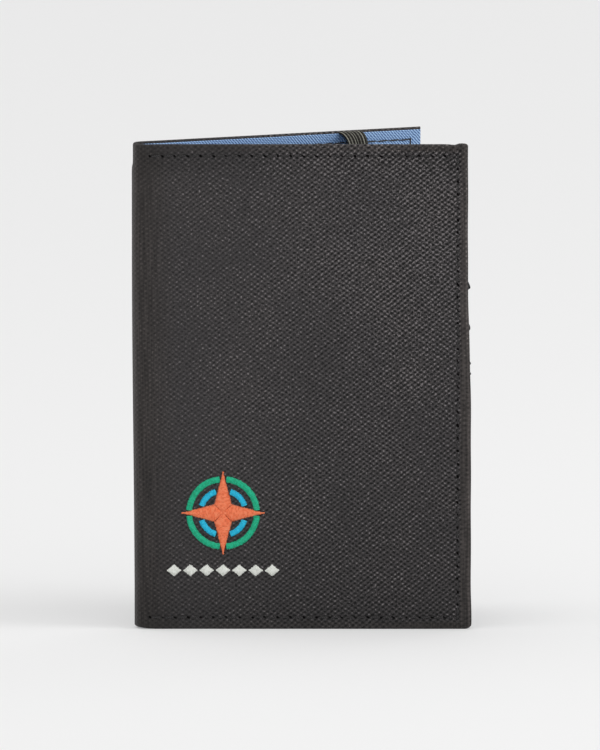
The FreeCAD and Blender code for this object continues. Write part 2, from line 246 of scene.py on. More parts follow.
def make_piece(name, points, faces, cloth, sharp=None):
    """A mesh object from points in millimetres, with its cloth coordinates as an attribute."""
    mesh = bpy.data.meshes.new(name)
    mesh.from_pydata((np.asarray(points) * MM).tolist(), [], faces)
    attribute = mesh.attributes.new("cloth", "FLOAT_VECTOR", "POINT")
    attribute.data.foreach_set("vector", np.asarray(cloth, np.float32).ravel())
    mesh.update()
    tidy = bmesh.new()
    tidy.from_mesh(mesh)
    bmesh.ops.recalc_face_normals(tidy, faces=tidy.faces)
    for face in tidy.faces:
        face.smooth = True
    if sharp is not None:
        for edge in tidy.edges:
            if all(vertex.index in sharp for vertex in edge.verts):
                edge.smooth = False
    tidy.to_mesh(mesh)
    tidy.free()
    return add_object(name, mesh)


def quads(ring_a, ring_b, closed):
    """Quads between two equal chains of point numbers."""
    count = len(ring_a) if closed else len(ring_a) - 1
    size = len(ring_a)
    return [
        (ring_a[k], ring_a[(k + 1) % size], ring_b[(k + 1) % size], ring_b[k])
        for k in range(count)
    ]


def outward(chain, closed):
    """The way out of an outline at each point of a chain that runs round it, longer where the
    outline turns, so that a sharp corner stays square."""
    step = np.roll(chain, -1, axis=0) - chain
    step = step / np.maximum(np.linalg.norm(step, axis=1, keepdims=True), 1e-9)
    before = np.roll(step, 1, axis=0)
    if not closed:
        before[0] = step[0]
        step[-1] = before[-1]
    mean = (before + step) / 2
    mean = mean / np.maximum(np.sum(mean**2, axis=1, keepdims=True), 0.25)
    return np.stack([mean[:, 1], -mean[:, 0]], axis=1)


RIM_STEPS = 6
CORNER_ROWS = 7
CUT_REACH = 6.0  # of a sheet's end, over which its columns close up where a row is cut back


def corner_cut(past, radius):
    """How far a rounded corner cuts back a row that lies past the start of its arc."""
    past = np.clip(past, 0.0, radius)
    return radius - np.sqrt(np.maximum(radius**2 - past**2, 0.0))


def slab(name, cover, s_lines, z_lines, near, far, corners=(0.0, 0.0), seam=False, trim=None):
    """A closed sheet between two depths, with rounded rims. near and far give its faces' depths.
    With a seam, its first column is cut square, to meet the other half of the same cloth. trim
    gives how far each row stops short of the last column."""
    first, last = s_lines[0], s_lines[-1]
    low, high = z_lines[0], z_lines[-1]
    middle = (low + high) / 2
    rim = float(far(last, middle) - near(last, middle)) / 2
    end = last - rim
    bottom, top = (max(corner - rim, 0.0) for corner in corners)
    arc = 1.0 - np.sin(np.linspace(0.0, math.pi / 2, CORNER_ROWS))
    rows = [np.clip(z_lines, low + rim, high - rim), low + rim + bottom * arc, high - rim - top * arc]
    rows = np.unique(np.round(np.concatenate(rows), 4))
    start = first if seam else first + rim
    columns = np.unique(np.round(np.clip(s_lines, start, end), 4))
    cut_back = corner_cut(rows - (high - rim - top), top)
    cut_back = cut_back + corner_cut((low + rim + bottom) - rows, bottom)
    if trim is not None:
        cut_back = cut_back + trim(rows)
    share = np.clip((columns - (end - CUT_REACH)) / CUT_REACH, 0.0, 1.0)
    s_grid = columns[:, None] - share[:, None] * cut_back[None, :]
    z_grid = np.broadcast_to(rows[None, :], s_grid.shape)
    wide, tall = s_grid.shape
    number = np.arange(wide * tall).reshape(wide, tall)
    chain = [*number[:, 0], *number[-1, 1:], *number[-2::-1, -1]]
    if not seam:
        chain += [*number[0, -2:0:-1]]
    flat_s, flat_z = s_grid.ravel(), z_grid.ravel()
    near_depth, far_depth = near(flat_s, flat_z), far(flat_s, flat_z)
    chain = np.array(chain)
    out = outward(np.stack([flat_s[chain], flat_z[chain]], axis=1), not seam)
    if seam:
        out[0], out[-1] = (0.0, -1.0), (0.0, 1.0)
    points = [cover.at(flat_s, flat_z, near_depth), cover.at(flat_s, flat_z, far_depth)]
    cloth = [np.stack([flat_s, flat_z, near_depth], axis=1)]
    cloth.append(np.stack([flat_s, flat_z, far_depth], axis=1))
    rings = [chain]
    for step in range(1, RIM_STEPS):
        angle = math.pi * step / RIM_STEPS
        s = flat_s[chain] + out[:, 0] * rim * math.sin(angle)
        z = flat_z[chain] + out[:, 1] * rim * math.sin(angle)
        share = (1.0 - math.cos(angle)) / 2
        depth = near_depth[chain] * (1 - share) + far_depth[chain] * share
        rings.append(2 * wide * tall + (step - 1) * len(chain) + np.arange(len(chain)))
        points.append(cover.at(s, z, depth))
        cloth.append(np.stack([s, z, depth], axis=1))
    rings.append(chain + wide * tall)
    faces = []
    for offset in (0, wide * tall):
        corners = [number[:-1, :-1], number[1:, :-1], number[1:, 1:], number[:-1, 1:]]
        faces += np.stack([c.ravel() + offset for c in corners], axis=1).tolist()
    for ring_a, ring_b in zip(rings, rings[1:]):
        faces += quads(ring_a.tolist(), ring_b.tolist(), not seam)
    sharp = None
    if seam:
        cut = number[0].tolist()
        far_cut = (number[0] + wide * tall).tolist()
        faces += quads(cut, far_cut, False)
        faces.append([int(ring[0]) for ring in rings])
        faces.append([int(ring[-1]) for ring in rings])
        sharp = set(cut + far_cut) | {int(ring[k]) for ring in rings for k in (0, -1)}
    return make_piece(name, np.concatenate(points), faces, np.concatenate(cloth), sharp)


def lines(start, end, spacing, fine_at=(), fine_step=0.22, fine_count=5):
    """Grid lines from start to end, closer together about the places in fine_at."""
    count = max(2, round((end - start) / spacing))
    places = list(np.linspace(start, end, count + 1))
    reach = fine_step * fine_count
    places = [p for p in places if all(abs(p - f) > reach for f in fine_at) or p in (start, end)]
    for place in fine_at:
        places += [place + fine_step * k for k in range(-fine_count, fine_count + 1)]
    return np.array(sorted(p for p in places if start <= p <= end))


# ---- rows of stitches ----

ROW_START = s_of(SETBACK + STITCH_START)
ROW_END = FREE_EDGE - STITCH_SIDE
ROW_HEIGHTS = (STITCH_TOP, HEIGHT - STITCH_TOP)
ROW_SPREAD = 0.5  # how far to each side of a row, or of a hole, the cloth is drawn in
DRAWN_BETWEEN, DRAWN_MORE = 0.55, 0.45  # between needle holes, and how much more at them


def even_pitch(start, end):
    """The pitch nearest to the stitches' own that divides a row evenly."""
    return (end - start) / round((end - start) / STITCH_PITCH)


def row_places(start, end):
    """The middles of the stitches of one row."""
    pitch = even_pitch(start, end)
    return [start + (index + 0.5) * pitch for index in range(round((end - start) / pitch))]


def holes_along(value, start, end):
    """1 at the needle holes of a row, falling to 0 between them, and 0 past its ends."""
    pitch = even_pitch(start, end)
    away = (value - start) / pitch
    away = np.abs(away - np.round(away)) * pitch
    return np.exp(-((away / ROW_SPREAD) ** 2))


def drawn_in(start, end, along, off):
    """How strongly a row draws the cloth in, 0 to 1, at a place along it and off to its side."""
    holes = DRAWN_BETWEEN + DRAWN_MORE * holes_along(along, start, end)
    return np.exp(-((off / ROW_SPREAD) ** 2)) * within(start, end, along) * holes


def pucker(s, z):
    """How far the cloth is drawn in along the three rows of a cover."""
    drawn = drawn_in(*ROW_HEIGHTS, z, s - ROW_END)
    for height in ROW_HEIGHTS:
        drawn = np.maximum(drawn, drawn_in(ROW_START, ROW_END, s, z - height))
    return PUCKER * drawn


# ---- outer cloth, stiffeners and lining ----

def constant(depth):
    return lambda s, z: depth + np.zeros(np.broadcast(s, z).shape)


HEM_BLEND = 0.5  # to each side of the hem's raw edge, where the doubled cloth thins out
FOLD_SPACING = 0.35
BACK_OVERHANG = 0.4  # of the back cover's cloth past its lining's free edge
LINING_GAP = 0.02  # between the hem and the lining
BOARD_MARGIN = 0.6  # between a stiffener and the raw edge of the hem
BOARD_FACES = (CLOTH + 0.05, HEM_DEPTH - 0.02)


def hem_face(s, z):
    """The inner face of the outer cloth: doubled where its hem is turned in."""
    top, side = HEIGHT - HEM_WIDTH, FREE_EDGE - HEM_WIDTH
    inside = smooth(HEM_WIDTH - HEM_BLEND, HEM_WIDTH + HEM_BLEND, z)
    inside = inside * (1 - smooth(top - HEM_BLEND, top + HEM_BLEND, z))
    inside = inside * (1 - smooth(side - HEM_BLEND, side + HEM_BLEND, s))
    return HEM_DEPTH - (HEM_DEPTH - CLOTH) * inside


def skin_lines(spacing, overhang=0.0):
    """Columns over half of the skin, close together round its fold and at its side row."""
    fold = lines(0.0, FOLD_END + 1.0, FOLD_SPACING)
    cover = lines(FOLD_END + 1.0, FREE_EDGE + overhang, spacing, fine_at=(ROW_END,))
    return np.unique(np.concatenate([fold, cover]))


def outer_cloth(cover, name, overhang):
    rows = lines(0.0, HEIGHT, spacing=1.0, fine_at=ROW_HEIGHTS)
    columns = skin_lines(1.0, overhang)
    return slab(name, cover, columns, rows, pucker, hem_face, cover.corners, seam=True)


def lining_cloth(cover, name):
    low, high = foot_of("lining_front"), top_of("lining_front")
    rows = lines(low, high, spacing=1.4, fine_at=ROW_HEIGHTS)
    near, far = constant(HEM_DEPTH + LINING_GAP), lambda s, z: COVER_THICKNESS - 0.6 * pucker(s, z)
    return slab(name, cover, skin_lines(spacing=1.4), rows, near, far, cover.corners, seam=True)


def stiffener(cover, name):
    columns = lines(FOLD_END + LAYER_GAP, FREE_EDGE - HEM_WIDTH - BOARD_MARGIN, spacing=4.0)
    rows = lines(HEM_WIDTH + BOARD_MARGIN, HEIGHT - HEM_WIDTH - BOARD_MARGIN, spacing=4.0)
    near, far = (constant(depth) for depth in BOARD_FACES)
    return slab(name, cover, columns, rows, near, far, corners=(1.0, 1.0))


# ---- pockets ----

def layer_depth(layer):
    return COVER_THICKNESS + LAYER_GAP + layer * (SHEET + LAYER_GAP)


def climb(*steps):
    """A sheet's near face: it starts on one layer and climbs to the next under each height."""
    first, heights = steps[0], steps[1:]

    def near(s, z):
        level = first + sum(smooth(edge - STEP_RUN, edge, z) for edge in heights)
        return layer_depth(level) + np.zeros(np.broadcast(s, z).shape)

    return near


CARD_FEET = {name: foot_of(f"card_slot_{name}") for name in ("top", "middle", "bottom")}
POCKETS = {
    "slip_pocket": (FRONT, climb(0)),
    "card_slot_top": (FRONT, climb(1)),
    "card_slot_middle": (FRONT, climb(1, CARD_FEET["top"])),
    "card_slot_bottom": (FRONT, climb(1, CARD_FEET["middle"], CARD_FEET["top"])),
    "passport_sleeve": (BACK, climb(0)),
}

# Where the tapes' ends show past the free edge: heights below the mouth, and how far out there.
TAPE_TIPS = {
    "card_slot_top": ((0.1, 0.0), (1.7, 0.68), (2.0, 0.68), (2.5, 0.0)),
    "card_slot_middle": ((0.6, 0.0), (1.5, 0.34), (2.1, 0.34), (2.6, 0.0)),
    "card_slot_bottom": ((0.0, 0.1), (0.3, 0.34), (0.8, 0.0), (2.9, 0.0), (3.2, 0.24)),
}
TAPE_TUCK = 0.15  # of the other tapes, short of the free edge
TAPE_OVER = 0.15  # of a tape, above its sheet's mouth
SHEET_SHORT = 0.3  # of a sheet, where it ends inside its tape
SLACK = 0.12  # of a mouth, off the layer below
SLACK_HEIGHT = 18.0  # below the mouth, where the slack begins


def slack(near, mouth):
    """Raises a sheet's mouth a little off the layer below, midway between its seams."""

    def raised(s, z):
        middle = np.sin(math.pi * np.clip((s - FOLD_END) / (FREE_EDGE - FOLD_END), 0, 1)) ** 2
        return near(s, z) + SLACK * middle * smooth(mouth - SLACK_HEIGHT, mouth, z)

    return raised


def pocket(name):
    """One pocket sheet and the tape that binds its mouth."""
    cover, near = POCKETS[name]
    foot, mouth = foot_of(name), top_of(name)
    near = slack(near, mouth)
    start = s_of(POCKET_START)
    columns = lines(start, FREE_EDGE - 0.05, spacing=1.6)
    rows = lines(foot, mouth - SHEET_SHORT, spacing=1.0)
    sheet = slab(name, cover, columns, rows, near, lambda s, z: near(s, z) + SHEET)
    below_mouth, past_edge = zip(*TAPE_TIPS.get(name, ((0.0, 0.0),)))
    overhang = max(past_edge) - (0.0 if name in TAPE_TIPS else TAPE_TUCK)
    columns = lines(start + 0.1, FREE_EDGE + overhang, 1.2, fine_at=(FREE_EDGE,), fine_step=0.15)

    def trim(z):
        return max(past_edge) - np.interp(mouth - z, below_mouth, past_edge)

    def narrow(s):
        return 1.0 - 0.5 * smooth(FREE_EDGE - 0.3, FREE_EDGE + 0.5, s)

    def tape_near(s, z):
        return near(s, z) - 0.04 + 0.12 * (1 - narrow(s))

    def tape_far(s, z):
        ribs = 0.03 * np.sin(z * 2 * math.pi / 0.8)
        return near(s, z) + SHEET + (BINDING_RISE + ribs) * narrow(s)

    rows = lines(mouth - BINDING_WIDTH, mouth + TAPE_OVER, spacing=0.2)
    tape = slab(f"{name}_binding", cover, columns, rows, tape_near, tape_far, trim=trim)
    return sheet, tape


def pile(cover, s, z):
    """The inner surface of a cover at a place: the uppermost of its lining and pockets."""
    top = COVER_THICKNESS
    for name, (owner, near) in POCKETS.items():
        foot, mouth = foot_of(name), top_of(name)
        if owner is cover and foot <= z <= mouth and s > s_of(POCKET_START):
            bound = BINDING_RISE if z > mouth - BINDING_WIDTH else 0.0
            top = max(top, float(slack(near, mouth)(s, z)) + SHEET + bound)
    return top


# ---- thread ----

THREAD_AROUND = 8
THREAD_STEPS = 8
THREAD_SINK = 0.15  # of a thread's ends, into the surface
STITCH_SIZE = (0.12, 0.42, 0.3)  # its rise over the surface, width and height
KNOT_SIZE = (0.15, 0.75, 0.4)
KNOT_REACH = 0.35
POCKET_STITCH, OUTSIDE_STITCH, INSIDE_STITCH = 3.1, 2.75, 3.9  # lengths
OUT, IN = -1.0, 1.0  # the side of a cover on which a thread lies


class Threads:
    """Gathers short arched threads, each laid on a cover, into one mesh."""

    def __init__(self):
        self.points = []
        self.cloth = []
        self.faces = []

    def lay(self, cover, start, end, surface, rise, width, height, out=OUT):
        """A thread from start to end, both (s, z), arching over a surface's depth."""
        run = np.array(end) - np.array(start)
        length = float(np.hypot(*run))
        along = run / max(length, 1e-6)
        side = np.array([-along[1], along[0]])
        base = sum(len(p) for p in self.points)
        rings = []
        for step in range(THREAD_STEPS + 1):
            t = step / THREAD_STEPS
            arch = math.sin(math.pi * t) ** 0.55 if 0 < t < 1 else 0.0
            girth = 0.35 + 0.65 * arch
            crown = (rise + THREAD_SINK) * arch - THREAD_SINK
            angles = np.linspace(0, 2 * math.pi, THREAD_AROUND, endpoint=False)
            across = np.cos(angles) * width / 2 * girth
            up = np.sin(angles) * height / 2 * girth + crown
            place = np.array(start) + run * t
            s = place[0] + side[0] * across
            z = place[1] + side[1] * across
            self.points.append(cover.at(s, z, surface + out * up))
            shade = np.full(THREAD_AROUND, RNG.random())
            self.cloth.append(np.stack([np.full(THREAD_AROUND, t * length), across, shade], axis=1))
            rings.append([base + step * THREAD_AROUND + k for k in range(THREAD_AROUND)])
        for ring_a, ring_b in zip(rings, rings[1:]):
            self.faces += quads(ring_a, ring_b, True)
        self.faces.append(rings[0])
        self.faces.append(rings[-1][::-1])

    def piece(self, name):
        return make_piece(name, np.concatenate(self.points), self.faces, np.concatenate(self.cloth))


SLANT = 0.10


def stitch_row(threads, cover, places, fixed, along_s, surface, out, length):
    """A row of stitches, each slightly slanted, along s at a height or along z at an s."""
    for place in places:
        slant = SLANT * (1 + 0.5 * RNG.uniform(-1, 1))
        reach = length / 2 * (1 + 0.03 * RNG.uniform(-1, 1))
        if along_s:
            start, end = (place - reach, fixed - slant), (place + reach, fixed + slant)
        else:
            start, end = (fixed - slant, place - reach), (fixed + slant, place + reach)
        depth = surface((start[0] + end[0]) / 2, (start[1] + end[1]) / 2)
        threads.lay(cover, start, end, depth, *STITCH_SIZE, out=out)


def edge_stitches(cover, name, surface, out, length):
    """The three rows round a cover, with a knot of thread where they meet."""
    threads = Threads()
    for height in ROW_HEIGHTS:
        stitch_row(threads, cover, row_places(ROW_START, ROW_END), height, True, surface, out, length)
        knot = (ROW_END - KNOT_REACH, height), (ROW_END + KNOT_REACH, height)
        threads.lay(cover, *knot, surface(ROW_END, height), *KNOT_SIZE, out=out)
    places = row_places(*ROW_HEIGHTS)
    stitch_row(threads, cover, places, ROW_END, False, surface, out, length)
    return threads.piece(name)


def pocket_stitches(cover, side_name, mouth_name):
    """The row down the pockets' edge beside the spine, and one along each mouth's tape."""
    names = [name for name, (owner, _) in POCKETS.items() if owner is cover]
    side, mouths = Threads(), Threads()

    def surface(s, z):
        return pile(cover, s, z)

    highest = max(top_of(name) for name in names)
    places = row_places(STITCH_TOP + STITCH_PITCH, highest - STITCH_STOP)
    column = s_of(POCKET_START + SEAM_WIDTH / 2)
    stitch_row(side, cover, places, column, False, surface, IN, POCKET_STITCH)
    for name in names:
        height = top_of(name) - BINDING_ROW
        ends = s_of(POCKET_START + SEAM_WIDTH), ROW_END - THREAD
        stitch_row(mouths, cover, row_places(*ends), height, True, surface, IN, POCKET_STITCH)
    return side.piece(side_name), mouths.piece(mouth_name)


# ---- embroidery ----

FLOSS_PITCH = 0.33
FLOSS_WIDTH = 0.46
FLOSS_RISE = 0.34
FLOSS_HEIGHT = 0.3
FLOSS_SHORTEST = 0.35
FLOSS_UNEVEN = (-0.04, 0.12)  # how far a stitch's end lies past the outline
WAIST = STAR_WAIST * math.sqrt(0.5)  # how far from the star's middle its points meet


def floss(threads, start, end):
    """One satin stitch on the front cover, between two (u, z) places, with uneven ends."""
    run = np.array(end) - np.array(start)
    length = float(np.hypot(*run))
    if length < FLOSS_SHORTEST:
        return
    along = run / length
    start = np.array(start) - along * RNG.uniform(*FLOSS_UNEVEN)
    end = np.array(end) + along * RNG.uniform(*FLOSS_UNEVEN)
    rise = FLOSS_RISE * min(1.0, 0.55 + 0.25 * length) * (1 + 0.12 * RNG.uniform(-1, 1))
    start, end = (s_of(start[0]), start[1]), (s_of(end[0]), end[1])
    threads.lay(FRONT, start, end, 0.0, rise, FLOSS_WIDTH, FLOSS_HEIGHT)


def embroidered_star():
    """Four long points. Each is filled with stitches square to its length."""
    threads = Threads()
    for point in range(4):
        angle = math.pi / 2 * point
        along = np.array([math.sin(angle), math.cos(angle)])
        across = np.array([along[1], -along[0]])
        reach = 0.2
        while reach < STAR_TIP:
            if reach < WAIST:
                half = reach + 0.16
            else:
                half = WAIST * (STAR_TIP - reach) / (STAR_TIP - WAIST)
            half = max(half, 0.22)
            middle = np.array([MOTIF_U, MOTIF_Z]) + along * reach
            floss(threads, middle - across * half, middle + across * half)
            reach += FLOSS_PITCH
    return threads.piece("embroidered_star")


def inside_star(place):
    """True within the star's outline grown by a small clearance."""
    x, z = (abs(v) for v in place)
    waist = WAIST + 0.25
    long, short = max(x, z), min(x, z)
    return short < waist * (STAR_TIP + 1.0 - long) / (STAR_TIP + 1.0 - waist)


def embroidered_ring(name, radii):
    """A ring of radial stitches, parted where the star crosses it."""
    threads = Threads()
    middle_radius = sum(radii) / 2
    count = round(2 * math.pi * middle_radius / FLOSS_PITCH)
    for index in range(count):
        angle = 2 * math.pi * index / count
        ray = np.array([math.cos(angle), math.sin(angle)])
        if inside_star(ray * middle_radius):
            continue
        centre = np.array([MOTIF_U, MOTIF_Z])
        floss(threads, centre + ray * radii[0], centre + ray * radii[1])
    return threads.piece(name)


def embroidered_lozenges():
    threads = Threads()
    for index in range(LOZENGE_COUNT):
        middle = MOTIF_U + (index - (LOZENGE_COUNT - 1) / 2) * LOZENGE_PITCH
        across = -LOZENGE_WIDTH / 2 + 0.18
        while across < LOZENGE_WIDTH / 2 - 0.1:
            half = max(0.25, LOZENGE_HEIGHT / 2 * (1 - 2 * abs(across) / LOZENGE_WIDTH))
            u = middle + across
            floss(threads, (u, LOZENGE_Z - half), (u, LOZENGE_Z + half))
            across += FLOSS_PITCH
    return threads.piece("embroidered_lozenges")


# ---- elastic band ----

BAND_RIBS = 7
BAND_ACROSS = 43
BAND_MIDDLE = BAND_START + BAND_WIDTH / 2
CREST = 5.0  # from its end, where the band stands out furthest
BAND_PROUD = (6.6, 3.9)  # of its edge near the spine and of its other edge there
BAND_SUNK = 0.3  # of its ends, into the lining
BAND_SHORT = 0.4  # of its ends, from the top and the foot of the cover
BAND_FURROW, BAND_RIB = 0.18, 0.22  # off half of its thickness, and back on at a rib
BAND_SELVEDGE, BAND_ROUND = 0.93, 0.07  # shares of half its width: flat, then rounded off
NUDGE = 1e-3  # the step for slopes


def band_proud(across, below):
    """How far the band stands off the lining, at -1..1 across and a distance from its end."""
    share = (across + 1) / 2
    crest = BAND_PROUD[0] * (1 - share) + BAND_PROUD[1] * share
    rest = BAND_STAND_OFF - COVER_THICKNESS
    rise = np.sqrt(np.clip(1 - (1 - np.clip(below / CREST, 0, 1)) ** 2, 0, 1))
    return crest * rise + (rest - crest) * smooth(CREST, BAND_END_HEIGHT, below)


def band_half(name, at_top):
    """Half of the band, from its end over the lining's edge to the middle of its straight run."""
    turn = np.linspace(0, 1, 26) ** 2 * BAND_END_HEIGHT
    run = np.linspace(BAND_END_HEIGHT, HEIGHT / 2, 12)[1:]
    below = np.concatenate([turn, run])
    across = np.linspace(-1, 1, BAND_ACROSS)
    grid_across, grid_below = np.meshgrid(across, below, indexing="ij")

    def middle(across, below):
        depth = COVER_THICKNESS - BAND_SUNK + band_proud(across, below)
        height = BAND_SHORT + below
        z = HEIGHT - height if at_top else height
        u = BAND_MIDDLE + across * BAND_WIDTH / 2
        plan = BACK.axis + u[..., None] * BACK.along + depth[..., None] * BACK.inward
        return np.concatenate([plan, z[..., None]], axis=-1)

    centre = middle(grid_across, grid_below)
    sideways = middle(grid_across + NUDGE, grid_below) - middle(grid_across - NUDGE, grid_below)
    above = middle(grid_across, np.maximum(grid_below - NUDGE, 0))
    downwards = middle(grid_across, grid_below + NUDGE) - above
    normal = np.cross(sideways, downwards)
    normal = normal / np.linalg.norm(normal, axis=-1, keepdims=True)
    uneven = grid_across + 0.035 * np.sin(7.0 * grid_across + 1.0) + 0.02 * np.sin(grid_below * 0.5)
    ribs = (0.5 + 0.5 * np.cos(uneven * math.pi * BAND_RIBS)) ** 1.6
    past_flat = np.clip((np.abs(grid_across) - BAND_SELVEDGE) / BAND_ROUND, 0, 1)
    edge = np.sqrt(np.clip(1 - past_flat**2, 0.02, 1))
    half = (BAND_THICKNESS / 2 - BAND_FURROW + BAND_RIB * ribs) * edge
    sides = [centre + half[..., None] * normal, centre - half[..., None] * normal]
    wide, tall = grid_across.shape
    number = np.arange(wide * tall).reshape(wide, tall)
    loops = [[*number[:, row], *(number[::-1, row] + wide * tall)] for row in range(tall)]
    faces = [quad for a, b in zip(loops, loops[1:]) for quad in quads(a, b, True)]
    for end in (0, -1):
        cut, far_cut = number[:, end].tolist(), (number[:, end] + wide * tall).tolist()
        faces += quads(cut, far_cut, False)
    marks = np.stack([grid_across * BAND_WIDTH / 2, grid_below, ribs], axis=-1).reshape(-1, 3)
    points = np.concatenate([side.reshape(-1, 3) for side in sides])
    return make_piece(name, points, faces, np.concatenate([marks, marks]), set(cut + far_cut))


# ---- materials ----

def set_inputs(node, values):
    for name, value in values.items():
        node.inputs[name].default_value = value


class Field:
    """A number that varies over a surface: each step adds one Math node."""

    def __init__(self, tree, socket):
        self.tree = tree
        self.socket = socket
        self.link = tree.links.new

    def step(self, operation, *others):
        node = self.tree.nodes.new("ShaderNodeMath")
        node.operation = operation
        for index, value in enumerate((self, *others)):
            if isinstance(value, Field):
                self.link(value.socket, node.inputs[index])
            else:
                node.inputs[index].default_value = value
        return Field(self.tree, node.outputs[0])

    __add__ = partialmethod(step, "ADD")
    __sub__ = partialmethod(step, "SUBTRACT")
    __mul__ = partialmethod(step, "MULTIPLY")
    __truediv__ = partialmethod(step, "DIVIDE")
    cosine = partialmethod(step, "COSINE")
    size = partialmethod(step, "ABSOLUTE")
    at_least = partialmethod(step, "MAXIMUM")

    def __rsub__(self, other):
        return self * -1.0 + other

    def ribs(self, pitch):
        """Even waves from 0 to 1."""
        return (self * (2 * math.pi / pitch)).cosine() * 0.5 + 0.5

    def between(self, low, high, start=0.0, end=1.0):
        """A smooth change from start to end as the value goes from low to high."""
        node = self.tree.nodes.new("ShaderNodeMapRange")
        node.interpolation_type = "SMOOTHSTEP"
        self.link(self.socket, node.inputs["Value"])
        set_inputs(node, {"From Min": low, "From Max": high, "To Min": start, "To Max": end})
        return Field(self.tree, node.outputs["Result"])


# Which of a Mix node's sockets are those of its colours.
MIX_FACTOR, MIX_FIRST, MIX_SECOND, MIX_RESULT = 0, 6, 7, 2


class Surface:
    """A Principled material and the cloth coordinates that its pattern is made from."""

    def __init__(self, name, sheen=0.0, specular=0.5):
        self.material = bpy.data.materials.new(name)
        self.material.use_nodes = True
        self.tree = self.material.node_tree
        self.link = self.tree.links.new
        self.shader = self.tree.nodes["Principled BSDF"]
        set_inputs(self.shader, {"Sheen Weight": sheen, "Sheen Roughness": 0.5})
        set_inputs(self.shader, {"Specular IOR Level": specular})
        coordinates = self.tree.nodes.new("ShaderNodeAttribute")
        coordinates.attribute_name = "cloth"
        self.place = coordinates.outputs["Vector"]
        parts = self.tree.nodes.new("ShaderNodeSeparateXYZ")
        self.link(self.place, parts.inputs[0])
        self.x, self.y, self.z = (Field(self.tree, socket) for socket in parts.outputs)

    def vector(self, x, y, z=None):
        node = self.tree.nodes.new("ShaderNodeCombineXYZ")
        for index, value in enumerate((x, y, z)):
            if value is not None:
                self.link(value.socket, node.inputs[index])
        return node.outputs[0]

    def noise(self, scale, detail=2.0, place=None):
        """Soft noise from 0 to 1, with features about 1 / scale millimetres across."""
        node = self.tree.nodes.new("ShaderNodeTexNoise")
        set_inputs(node, {"Scale": scale, "Detail": detail})
        self.link(place or self.place, node.inputs["Vector"])
        return Field(self.tree, node.outputs["Fac"])

    def drift(self, scale, detail=1.0, place=None):
        return self.noise(scale, detail, place) - 0.5

    def scatter(self, place):
        """A random number for each whole-numbered cell of a vector."""
        node = self.tree.nodes.new("ShaderNodeTexWhiteNoise")
        node.noise_dimensions = "2D"
        self.link(place, node.inputs["Vector"])
        return Field(self.tree, node.outputs["Value"])

    def paint(self, amount, *stops):
        """Sets the colour from stops, (position, colour), along an amount from 0 to 1."""
        ramp = self.tree.nodes.new("ShaderNodeValToRGB")
        elements = ramp.color_ramp.elements
        while len(elements) < len(stops):
            elements.new(0.5)
        for element, (position, colour) in zip(elements, stops):
            element.position = position
            element.color = (*colour, 1.0)
        self.link(amount.socket, ramp.inputs[0])
        self.link(ramp.outputs[0], self.shader.inputs["Base Color"])

    def shade(self, amount, tint, *stops):
        """Sets the colour from stops, (position, brightness), of one tint."""
        self.paint(amount, *((place, tuple(level * share for share in tint)) for place, level in stops))

    def stain(self, amount, colour):
        """Multiplies the painted colour by another, as far as an amount from 0 to 1."""
        base = self.shader.inputs["Base Color"]
        painted = base.links[0].from_socket
        mix = self.tree.nodes.new("ShaderNodeMix")
        mix.data_type = "RGBA"
        mix.blend_type = "MULTIPLY"
        self.link(amount.socket, mix.inputs[MIX_FACTOR])
        self.link(painted, mix.inputs[MIX_FIRST])
        mix.inputs[MIX_SECOND].default_value = (*colour, 1.0)
        self.link(mix.outputs[MIX_RESULT], base)

    def finish(self, grain, low, high, height, depth):
        """Roughness from low to high along a grain, most of which lies between 0.2 and 0.8, and bump
        from a height field, whose 0 to 1 stands for a depth in millimetres. Gives the material."""
        self.link(grain.between(0.2, 0.8, low, high).socket, self.shader.inputs["Roughness"])
        bump = self.tree.nodes.new("ShaderNodeBump")
        bump.inputs["Distance"].default_value = depth * MM
        self.link(height.socket, bump.inputs["Height"])
        self.link(bump.outputs[0], self.shader.inputs["Normal"])
        return self.material

    def gloss(self, field):
        self.link(field.socket, self.shader.inputs["Specular IOR Level"])


# Tints, as shares of a brightness.
GREY, CHARCOAL, OLIVE = (1.0, 1.0, 1.0), (1.09, 1.0, 1.03), (1.04, 1.0, 0.82)

WARP_PITCH = 0.974
WEFT_PITCH = 0.717
WEAVE_TILT = math.radians(2.2)
HOLE_SHADE_LENGTH, HOLE_SHADE_WIDTH = 0.55, 0.4  # of the painted shade in a needle hole, from its middle
HOLE_SHADE_SLANT = 0.3
BROWNED = (1.06, 0.97, 0.85)  # what wear multiplies the cloth's colour by


def needle_hole_shade(look):
    """Painted shade in the needle holes of a cover's three rows: nearly 1 there, 0 elsewhere."""
    uneven = look.noise(0.9, 1.0).between(0.35, 0.65, -0.1, 0.7)

    def row(along, start, end, across):
        half = (end - start) / 2
        pitch = even_pitch(start, end)
        phase = (along - start) / pitch
        off = (phase - phase.step("ROUND")) * pitch
        slanted = (across + off * HOLE_SHADE_SLANT) / HOLE_SHADE_WIDTH
        away = (off / HOLE_SHADE_LENGTH) * (off / HOLE_SHADE_LENGTH) + slanted * slanted + uneven
        inside = (along - (start + end) / 2).size().between(half, half + 0.4, 1, 0)
        return away.between(0.3, 1.5, 0.95, 0.0) * inside

    marks = row(look.y, *ROW_HEIGHTS, look.x - ROW_END)
    for height in ROW_HEIGHTS:
        marks = marks.at_least(row(look.x, ROW_START, ROW_END, look.y - height))
    return marks


